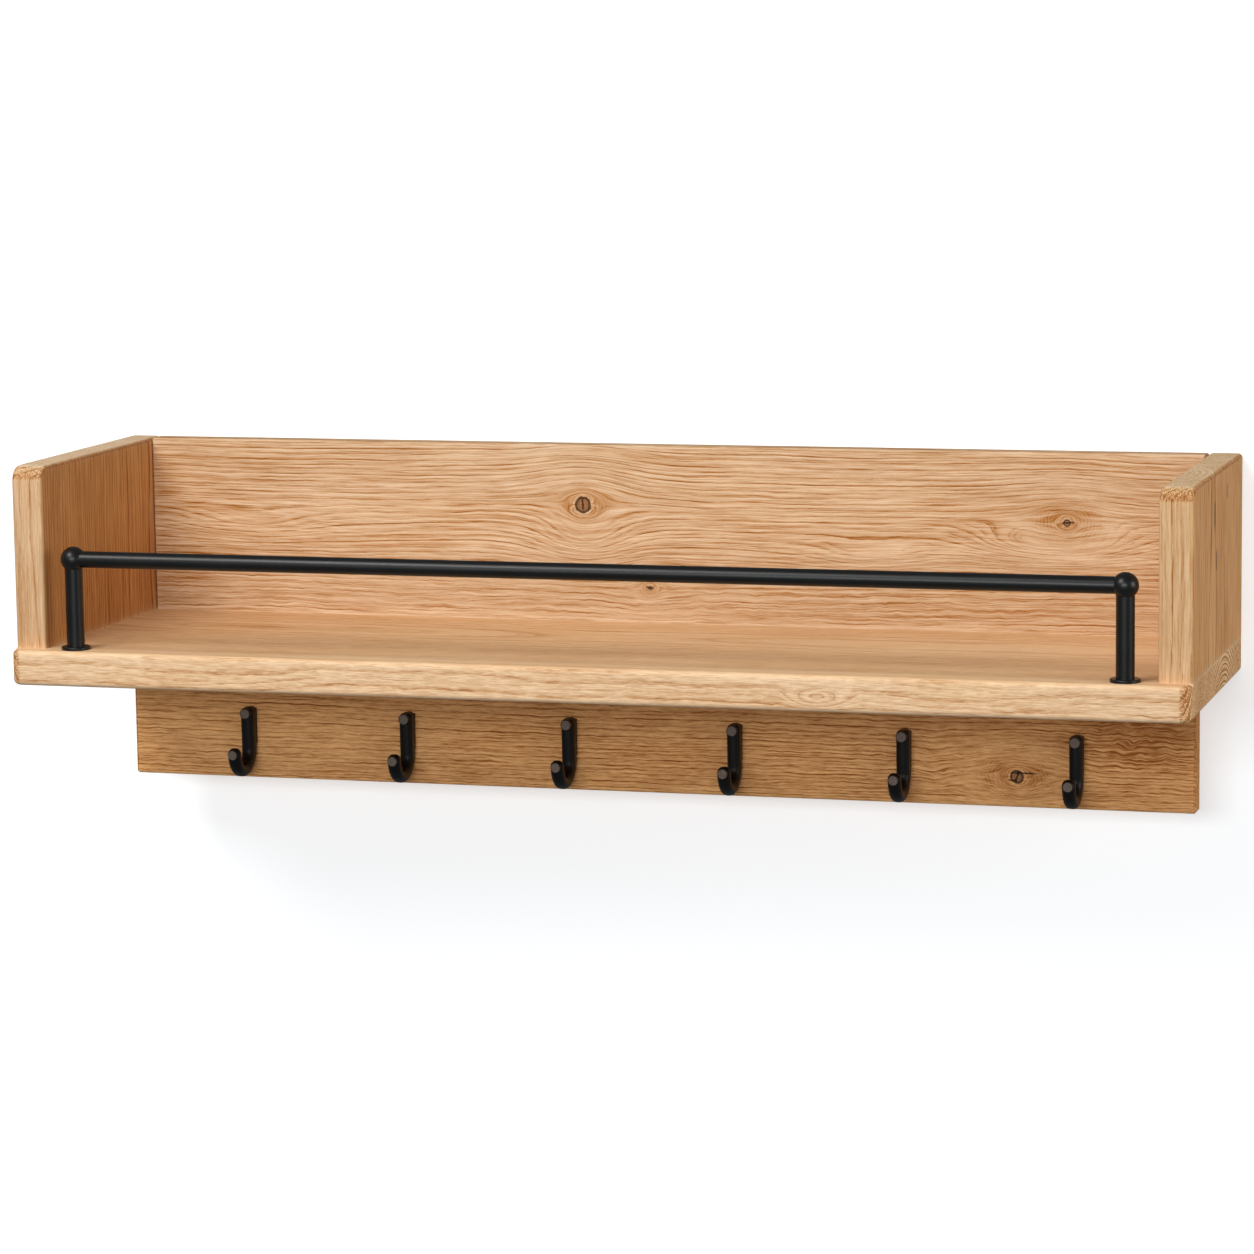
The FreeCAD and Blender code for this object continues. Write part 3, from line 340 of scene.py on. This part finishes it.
def growth_rings(g, flow, lift, pith, ring, wave, patch):
    """Year rings round the pith line, with fainter rings between them."""
    pith_across, pith_through = pith
    slow = g.grain((330, 200, 200), layer=21)
    from_pith_w = g.sub(g.w, g.add(pith_through, g.swing(slow, 1.6 * wave)))
    radius = g.add(g.length(g.sub(flow, pith_across), from_pith_w), lift)
    uneven = g.noise(g.mul(radius, 1 / (3.1 * ring)), g.seed, 0.0, 2, seed=g.seed + 5)
    major = g.growth(g.add(g.mul(radius, 1 / ring), g.mul(uneven, 1.9)), 5.0, 0.06)
    minor = g.growth(g.add(g.mul(radius, 1.63 / ring), g.mul(uneven, 2.3)), 4.0, 0.08)
    other = g.grain((40, 1.6, 1.6), layer=14, detail=1, roughness=0.6, v=flow)
    return g.add(g.mul(major, g.smooth(patch, 0.32, 0.66, 0.55, 1.6)),
                 g.mul(minor, g.smooth(other, 0.38, 0.62, 0.1, 1.2)))


def worn_and_highlit_edges(g):
    """1 on the board's edges, where two of its faces are both near."""
    gaps = [g.sub(g.half[axis], g.maths("ABSOLUTE", g.sub(g.raw[axis], g.middle[axis])))
            for axis in "xyz"]
    x, y, z = (g.maths("EXPONENT", g.mul(gap, -1 / 1.8)) for gap in gaps)
    return g.maths("ADD", g.mul(x, y), g.add(g.mul(y, z), g.mul(x, z)), clamp=True)


def oak(name, node, axes, seed, pith, ring, wave, light, dark, tremble=0.5, knots=(), splits=(),
        hills=(), swirls=(), curls=(), contrast=1.0, edge_contrast=0.0, end_contrast=0.15,
        relief=1.0, fibre_length=75.0, painted_face_shading=None, end_tint_and_painted_light=(0.97, 0.93, 0.90, 1.0)):
    """Solid oak cut from a tree: rings round a pith line, fibres that part round knots, pores.

    axes names the axes of the grain, of the wide face and of the thickness. pith is the pith's
    place (across, through) and ring the width of a year ring, in mm. The face tint is painted shade
    and painted light on the face towards the positive thickness axis. The end tint colours the end
    grain, and where it goes above 1 it is painted light."""
    g = Board(name, node, axes, seed)
    marks = Marks()
    flow, waver, stain = fibre_flow(g, wave, tremble, curls)
    flow = part_round_knots(g, flow, waver, knots, marks)
    split_face(g, splits, marks)
    lift, calm = lifted_rings(g, hills, swirls)
    patch = g.grain((85, 2.4, 2.2), layer=13, roughness=0.6, v=flow)
    rings = growth_rings(g, flow, lift, pith, ring, wave, patch)

    # fibres and pores, stretched along the grain
    fibre = g.grain((fibre_length, 1.35, 1.35), layer=2, detail=3, roughness=0.75, v=flow)
    thread = g.grain((fibre_length / 2.6, 0.9, 0.9), layer=4, roughness=0.6, v=flow)
    pore_noise = g.grain((3.6, 0.24, 0.24), layer=6, detail=1, v=flow)
    pore = g.mul(g.smooth(pore_noise, 0.60, 0.70), g.smooth(rings, 0.05, 0.5, 0.25, 1.0))
    sideways = g.smooth(g.maths("ABSOLUTE", g.facing(g.across)), 0.4, 0.9)
    short = g.add(0.45, g.mul(sideways, 0.3))
    streak = g.add(g.mul(g.smooth(fibre, 0.36, 0.64), g.sub(1.0, short)),
                   g.mul(g.smooth(thread, 0.36, 0.64), short))

    # end grain, and the rays on the round corners next to it
    endwise = g.maths("ABSOLUTE", g.facing(g.along))
    end_grain = g.smooth(endwise, 0.35, 0.9)
    corner = g.band(endwise, 0.05, 0.3, 0.85, 0.985)
    rays = g.noise(g.mul(g.l, 1 / 2.6), g.mul(g.add(g.v, g.w), 1 / 0.8),
                   g.mul(g.sub(g.v, g.w), 1 / 2.2), 2, 0.6, seed=seed + 15)

    # one tone from pale to dark
    quiet = g.add(g.mul(marks.eye, 0.8), calm)
    rings = g.mul(rings, g.maths("SUBTRACT", 1.0, quiet, clamp=True))
    rings = g.add(rings, g.mul(marks.ovals, 0.5))
    contrast = g.add(contrast, g.mul(edge_contrast, sideways))
    lines = g.add(g.mul(rings, RING_TONE), g.mul(g.sub(streak, 0.5), FIBRE_TONE))
    broad = g.grain((160, 34, 34), layer=9, v=flow)
    tone = g.add(g.mul(lines, contrast), g.mul(pore, PORE_TONE), g.mul(marks.halo, HALO_TONE),
                 stain, g.mul(end_grain, g.add(END_TONE, g.mul(rings, end_contrast))),
                 g.mul(corner, g.smooth(rays, 0.38, 0.62, 0.10, 0.62)),
                 g.mul(marks.pale_rim, PALE_RIM_TONE), BASE_TONE)
    tone = g.maths("ADD", tone, g.swing(broad, BROAD_TONE), clamp=True)

    pale, deep = rgb(*light), rgb(*dark)
    centre = tuple(0.5 * a + 0.5 * b for a, b in zip(pale, deep))
    burnt = (0.66 * deep[0], 0.58 * deep[1], 0.50 * deep[2], 1.0)
    colour = g.ramp(tone, [(0.0, pale), (0.45, centre), (0.85, deep), (1.0, burnt)])
    warm = g.grain((120, 16, 16), layer=17, detail=1, v=flow)
    colour = g.blend(g.smooth(warm, 0.35, 0.75, 0.0, 0.35), colour, WARM_CAST, "MULTIPLY")
    # The end tint is the end grain's own colour; where it goes above 1, on the shelf's ends and the
    # side panels' tops and bottoms, it is painted light.
    colour = g.blend(end_grain, colour, end_tint_and_painted_light, "MULTIPLY")
    if knots or splits:
        heart = g.blend(g.maths("MULTIPLY", marks.ovals, 1.3, clamp=True), HEART, BARK)
        colour = g.blend(g.mul(marks.core, 0.85), colour, heart)
        rim = g.maths("MULTIPLY", marks.core_rim, 0.85, clamp=True)
        colour = g.blend(rim, colour, RIM_COLOUR)
        gap = g.maths("MULTIPLY", marks.crack, 0.9, clamp=True)
        colour = g.blend(gap, colour, CRACK_COLOUR)
    # Painted shade and painted light by face: the face tint darkens or lightens the face towards
    # the positive thickness axis for how light falls on it.
    if painted_face_shading is not None:
        towards = g.smooth(g.facing(g.through), 0.4, 0.9)
        colour = g.blend(towards, colour, painted_face_shading, "MULTIPLY")
    # Lighter, smoother edges: partly wear, partly a painted highlight along the rounded edges.
    wear_and_highlight = g.mul(worn_and_highlit_edges(g), g.smooth(patch, 0.35, 0.6, 0.4, 1.0))
    colour = g.blend(g.mul(wear_and_highlight, 0.5), colour, pale)

    roughness = g.add(0.50, g.mul(streak, 0.10), g.mul(rings, 0.10), g.mul(wear_and_highlight, -0.08),
                      g.mul(end_grain, 0.10))
    height = g.add(g.mul(rings, -0.55), g.mul(streak, -0.45), g.mul(pore, -0.45),
                   g.mul(marks.crack, -2.0))
    return g.finish(colour, roughness, height, depth=0.42 * relief, strength=0.54,
                    Specular_IOR_Level=0.12)


# ---------------------------------------------------------------- metals and dowels

def black_coat():
    """Satin black powder coat on the rail, posts, balls and flanges."""
    g = Graph("satin_black_coat")
    peel = g.noise(g.mul(g.x, 1 / 1.1), g.mul(g.y, 1 / 1.1), g.mul(g.z, 1 / 1.1), 2)
    speck = g.noise(g.mul(g.x, 1 / 0.3), g.mul(g.y, 1 / 0.3), g.mul(g.z, 1 / 0.3), 1)
    cloud = g.noise(g.mul(g.x, 1 / 38), g.mul(g.y, 1 / 20), g.mul(g.z, 1 / 20), 2)
    colour = g.blend(g.smooth(cloud, 0.35, 0.7), rgb(7, 8, 8), rgb(12, 13, 13))
    roughness = g.add(0.29, g.mul(peel, 0.07), g.mul(cloud, 0.06))
    height = g.add(g.mul(peel, 0.7), g.mul(speck, 0.3))
    return g.finish(colour, roughness, height, depth=0.05, strength=0.35, Specular_IOR_Level=0.4)


def cast_hook(pitch, offset, boss_z, tip_z, radius, front):
    """Black lacquer over cast metal. Each hook's two round flat facets carry a dull grey, a painted
    reflection of the light on their flat faces.
    """
    g = Graph("cast_black_lacquer")
    lump = g.noise(g.mul(g.x, 1 / 2.6), g.mul(g.y, 1 / 2.6), g.mul(g.z, 1 / 2.6), 2)
    grit = g.noise(g.mul(g.x, 1 / 0.45), g.mul(g.y, 1 / 0.45), g.mul(g.z, 1 / 0.45), 2)
    colour = g.blend(g.smooth(lump, 0.3, 0.75), rgb(6, 5, 4), rgb(11, 9, 7))
    across = g.sub(g.maths("WRAP", g.sub(g.x, offset), pitch, 0.0), pitch / 2)
    forward = g.smooth(g.mul(g.parts(g.normal)[1], -1.0), 0.80, 0.97)
    facets = 0.0
    for centre_z in (boss_z, tip_z):
        spot = g.length(across, g.sub(g.z, centre_z))
        facets = g.add(facets, g.smooth(spot, radius, radius - 0.7))
    proud = g.smooth(g.y, front, front - 1.0)
    facets = g.maths("MULTIPLY", g.mul(facets, forward), proud, clamp=True)
    # Painted reflection: the facets' dull grey stands for light reflected off their flat faces.
    painted_facet_reflection = g.blend(g.smooth(grit, 0.35, 0.7), rgb(100, 87, 79), rgb(132, 117, 108))
    colour = g.blend(g.mul(facets, 0.9), colour, painted_facet_reflection)
    roughness = g.add(0.34, g.mul(lump, 0.12), g.mul(facets, 0.16))
    height = g.add(g.mul(lump, 0.7), g.mul(grit, 0.3))
    return g.finish(colour, roughness, height, depth=0.09, strength=0.4, Specular_IOR_Level=0.24)


def zinc():
    """Bright zinc plate with faint rolling marks and dull patches."""
    g = Graph("zinc_plate")
    rolled = g.noise(g.mul(g.x, 1 / 0.35), g.mul(g.y, 1 / 8), g.mul(g.z, 1 / 8), 2)
    dull = g.noise(g.mul(g.x, 1 / 9), g.mul(g.y, 1 / 9), g.mul(g.z, 1 / 9), 3)
    colour = g.blend(g.smooth(dull, 0.35, 0.7), rgb(196, 199, 204), rgb(158, 161, 165))
    roughness = g.add(0.28, g.mul(rolled, 0.12), g.mul(dull, 0.2))
    return g.finish(colour, roughness, rolled, depth=0.02, strength=0.3, Metallic=1.0)


def beech():
    """Plain beech dowel rod with its short dark flecks."""
    g = Graph("beech_rod")
    fleck = g.noise(g.mul(g.x, 1 / 0.7), g.mul(g.y, 1 / 0.7), g.mul(g.z, 1 / 3.5), 2)
    tone = g.noise(g.mul(g.x, 1 / 6), g.mul(g.y, 1 / 6), g.mul(g.z, 1 / 30), 2)
    colour = g.blend(g.smooth(tone, 0.3, 0.7), rgb(222, 188, 150), rgb(206, 166, 124))
    colour = g.blend(g.smooth(fleck, 0.62, 0.7), colour, rgb(160, 112, 74))
    return g.finish(colour, g.add(0.5, g.mul(fleck, 0.15)), fleck, depth=0.05, strength=0.4)


# ---------------------------------------------------------------- materials on the parts

MATERIALS = {
    "back_panel": oak(
        "oak_back", "back_panel", "xzy", seed=11.0, pith=(-108.0, 34.0), ring=4.3, wave=5.0,
        knots=[Knot(-63.3, -3.3, clear=6.2, core=5.7, reach=19.0, arch=13.0, arch_long=46.0,
                    arch_wide=46.0, crack_angle=93.0, crack_long=5.6, crack_offset=0.5),
               Knot(-9.6, -67.5, clear=2.6, core=1.4, reach=10.0, arch=6.0, arch_long=26.0,
                    arch_wide=20.0, crack_angle=-8.0, crack_long=3.6, crack_offset=0.0),
               Knot(319.8, -9.5, clear=3.8, core=2.4, reach=24.0, arch=8.0, arch_long=44.0,
                    arch_wide=32.0, crack_angle=4.0, crack_long=6.0, crack_offset=1.0)],
        hills=[Hill(306.0, -27.0, height=24.0, long=62.0, wide=15.0),
               Hill(170.0, -38.0, height=12.0, long=50.0, wide=12.0),
               Hill(0.0, -82.0, height=0.0, long=900.0, wide=17.0),
               Hill(-63.0, -32.0, height=10.0, long=34.0, wide=18.0),
               Hill(-345.0, -24.0, height=12.0, long=60.0, wide=14.0)],
        curls=[Curl(0.0, -80.0, long=900.0, wide=18.0, size=1.2, stain=0.08),
               # painted shadow: the back panel's left end darker, in the left panel's shadow
               Curl(-410.0, -20.0, long=75.0, wide=120.0, size=0.0, stain=0.12),
               Curl(300.0, 2.0, long=34.0, wide=14.0, size=0.6, stain=0.10)],
        light=(236, 206, 172), dark=(180, 120, 56)),
    "shelf_board": oak(
        "oak_shelf", "shelf_board", "xyz", seed=31.0, pith=(30.0, -70.0), ring=4.4, wave=6.0,
        swirls=[Swirl(180.0, -111.0, height=14.0, long=17.0, thick=6.5)],
        # painted light: lighter along the shelf's front edge, where the front is lit; the fibres
        # are also wavier there
        curls=[Curl(0.0, -236.0, long=900.0, wide=9.0, size=1.8, stain=-0.26),
               Curl(-330.0, -110.0, long=140.0, wide=70.0, size=0.0, stain=0.14),
               Curl(340.0, -110.0, long=150.0, wide=80.0, size=0.0, stain=-0.16)],
        contrast=0.62, edge_contrast=0.10, end_contrast=1.7, relief=0.65, fibre_length=34.0,
        light=(251, 217, 177), dark=(190, 130, 74),
        # painted shade on the shelf's top (face tint) and painted light on its end faces (end tint
        # above 1)
        painted_face_shading=(0.93, 0.89, 0.83, 1.0), end_tint_and_painted_light=(1.24, 1.17, 0.99, 1.0)),
    "hook_board": oak(
        "oak_hook_board", "hook_board", "xzy", seed=53.0, pith=(60.0, 50.0), ring=3.1, wave=3.0,
        knots=[Knot(290.5, -197.8, clear=5.0, core=4.6, reach=26.0, arch=7.0, arch_long=40.0,
                    arch_wide=26.0, crack_angle=78.0, crack_long=6.0, crack_offset=0.0)],
        splits=[Split(296.0, -194.8, long=13.0, wide=1.0),
                Split(287.0, -200.5, long=4.0, wide=0.8)],
        hills=[Hill(288.0, -204.0, height=9.0, long=40.0, wide=20.0)],
        curls=[Curl(384.0, -160.0, long=44.0, wide=28.0, size=3.2, stain=0.42),
               Curl(223.0, -187.0, long=40.0, wide=20.0, size=1.6, stain=0.05),
               Curl(-340.0, -175.0, long=130.0, wide=60.0, size=0.0, stain=-0.10),
               # painted shade: the hook board's top strip darker, in the shelf's shade
               Curl(0.0, -121.0, long=900.0, wide=16.0, size=0.3, stain=0.22)],
        # painted shade: this palette is warmer and more saturated than the other boards', the
        # colour of the shade the hook board lies in under the shelf
        tremble=1.0, fibre_length=26.0, light=(252, 192, 128), dark=(170, 101, 44)),
    "side_panel_left": oak(
        "oak_left", "side_panel_left", "zyx", seed=71.0, pith=(105.0, -60.0), ring=4.2, wave=5.0,
        curls=[Curl(-70.0, -100.0, long=50.0, wide=150.0, size=0.0, stain=0.22)],
        contrast=0.85, edge_contrast=-0.3, light=(238, 203, 164), dark=(180, 122, 66),
        # painted shade on the left panel's inner face (face tint) and painted light on its top and
        # bottom (end tint above 1)
        painted_face_shading=(0.74, 0.55, 0.33, 1.0), end_tint_and_painted_light=(1.18, 1.38, 1.62, 1.0)),
    "side_panel_right": oak(
        "oak_right", "side_panel_right", "zyx", seed=97.0, pith=(-30.0, -60.0), ring=4.2, wave=4.0,
        splits=[Split(13.4, -137.6, long=13.0, wide=3.2),
                Split(-21.0, -128.0, long=10.0, wide=2.6),
                Split(24.0, -78.0, long=7.0, wide=2.4)],
        contrast=1.05, edge_contrast=-0.45, light=(236, 199, 156), dark=(180, 120, 62),
        # painted light on the right panel's outer face (face tint) and on its top and bottom (end
        # tint above 1)
        painted_face_shading=(1.18, 0.96, 0.62, 1.0), end_tint_and_painted_light=(1.18, 1.38, 1.62, 1.0)),
}

HOOK_COUNT = 6
BOSS_DROP, TIP_DROP = 4.6, 33.0      # the facets' centres, below the top of a hook
FACET_RADIUS, FACET_AHEAD = 4.1, 14.0  # and how far they stand off the board's front at least
hook_low, hook_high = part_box("hook_1")
last_low, last_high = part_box("hook_6")
first_x, last_x = 500.0 * (hook_low.x + hook_high.x), 500.0 * (last_low.x + last_high.x)
hook_pitch = (last_x - first_x) / (HOOK_COUNT - 1)
hook_top = 1000.0 * hook_high.z
board_front = 1000.0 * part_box("hook_board")[0].y
hook_black = cast_hook(hook_pitch, first_x - hook_pitch / 2, hook_top - BOSS_DROP,
                       hook_top - TIP_DROP, FACET_RADIUS, board_front - FACET_AHEAD)

BY_SLOT = {"rail_black": black_coat(), "hook_black": hook_black, "beech": beech(),
           "zinc_steel": zinc()}
for part in frame["record"]["subparts"]:
    material = MATERIALS.get(part["node"]) or BY_SLOT[part["material_slot"]]
    for slot in nodes[part["node"]].material_slots:
        slot.material = material


# ---------------------------------------------------------------- wall, floor, light, camera

FLOOR_Z = -1.5
WALL_SIZE, FLOOR_SIZE = (14.0, 9.0), (60.0, 60.0)
WALL_GAP = 0.0006    # behind the rack's rear face
WALL_SHADE, WALL_GLOW = (0.83, 0.85, 0.87, 1.0), 0.46
FLOOR_SHADE, FLOOR_GLOW = (0.70, 0.70, 0.70, 1.0), 0.5


def backdrop(name, size, place, turn, shade, glow):
    """A pale sheet that only the camera sees, and only from its front."""
    width, height = size
    mesh = bpy.data.meshes.new(name)
    corners = [(-width / 2, -height / 2, 0), (width / 2, -height / 2, 0),
               (width / 2, height / 2, 0), (-width / 2, height / 2, 0)]
    mesh.from_pydata(corners, [], [(0, 1, 2, 3)])
    sheet = bpy.data.objects.new(name, mesh)
    sheet.location = place
    sheet.rotation_euler = turn
    bpy.context.scene.collection.objects.link(sheet)
    material = bpy.data.materials.new(name)
    material.use_nodes = True
    tree = material.node_tree
    tree.nodes.clear()
    paint = tree.nodes.new("ShaderNodeBsdfPrincipled")
    paint.inputs["Base Color"].default_value = shade
    paint.inputs["Roughness"].default_value = 1.0
    paint.inputs["Specular IOR Level"].default_value = 0.0
    paint.inputs["Emission Color"].default_value = (1.0, 1.0, 1.0, 1.0)
    paint.inputs["Emission Strength"].default_value = glow
    clear = tree.nodes.new("ShaderNodeBsdfTransparent")
    behind = tree.nodes.new("ShaderNodeNewGeometry")
    mix = tree.nodes.new("ShaderNodeMixShader")
    output = tree.nodes.new("ShaderNodeOutputMaterial")
    tree.links.new(behind.outputs["Backfacing"], mix.inputs[0])
    tree.links.new(paint.outputs[0], mix.inputs[1])
    tree.links.new(clear.outputs[0], mix.inputs[2])
    tree.links.new(mix.outputs[0], output.inputs["Surface"])
    mesh.materials.append(material)
    sheet.visible_diffuse = False
    sheet.visible_glossy = False
    sheet.visible_transmission = False
    sheet.visible_shadow = False
    return sheet


backdrop("wall", WALL_SIZE, (0, WALL_GAP, FLOOR_Z + WALL_SIZE[1] / 2),
         (math.radians(90), 0, 0), WALL_SHADE, WALL_GLOW)
backdrop("floor", FLOOR_SIZE, (0, 0, FLOOR_Z), (0, 0, 0), FLOOR_SHADE, FLOOR_GLOW)


def softbox(name, place, target, width, height, power, colour=(1.0, 1.0, 1.0)):
    data = bpy.data.lights.new(name, "AREA")
    data.shape = "RECTANGLE"
    data.size, data.size_y = width, height
    data.energy = power
    data.color = colour
    light = bpy.data.objects.new(name, data)
    light.location = place
    light.rotation_euler = (Vector(target) - Vector(place)).to_track_quat("-Z", "Y").to_euler()
    bpy.context.scene.collection.objects.link(light)
    return light


middle = (cad_low + cad_high) / 2
softbox("key", (-1.3, -2.2, 2.1), middle, 1.5, 1.2, 55.0, (1.0, 0.985, 0.96))
softbox("front", (0.2, -3.6, 0.6), middle, 2.2, 0.8, 50.0, (0.94, 0.98, 1.0))
above = softbox("above", (0.1, -0.5, 2.0), middle, 1.6, 0.6, 7.0, (1.0, 0.93, 0.84))
above.visible_glossy = False
softbox("right", (3.0, -0.75, 0.5), middle, 1.2, 1.2, 24.0)
softbox("rear_left", (-0.3, 2.8, -0.3), middle, 0.6, 0.6, 14.0)
softbox("rear_right", (0.3, 2.8, -0.3), middle, 0.6, 0.6, 10.0)

world = bpy.data.worlds.new("studio")
bpy.context.scene.world = world
world.use_nodes = True
world.node_tree.nodes.clear()
sky = world.node_tree.nodes.new("ShaderNodeBackground")
sky.inputs["Color"].default_value = (1.0, 1.0, 1.0, 1.0)
sky.inputs["Strength"].default_value = 0.2
sky_output = world.node_tree.nodes.new("ShaderNodeOutputWorld")
world.node_tree.links.new(sky.outputs[0], sky_output.inputs[0])

bpy.context.scene.view_settings.view_transform = "Standard"

YAW, PITCH, ROLL = math.radians(16.269), math.radians(-8.272), math.radians(-0.768)
ahead = Vector((-math.sin(YAW) * math.cos(PITCH), math.cos(YAW) * math.cos(PITCH), math.sin(PITCH)))
level = Vector((math.cos(YAW), math.sin(YAW), 0.0))
upright = level.cross(ahead)
camera_right = level * math.cos(ROLL) + upright * math.sin(ROLL)
camera_up = upright * math.cos(ROLL) - level * math.sin(ROLL)
camera_data = bpy.data.cameras.new("camera")
camera_data.sensor_width = 36.0
camera_data.lens = 124.22
camera_data.clip_end = 200.0
camera = bpy.data.objects.new("camera", camera_data)
turned = Matrix((camera_right, camera_up, -ahead)).transposed().to_4x4()
camera.matrix_world = Matrix.Translation((0.911161, -3.238795, 0.388976)) @ turned
bpy.context.scene.collection.objects.link(camera)
bpy.context.scene.camera = camera

bpy.context.view_layer.update()
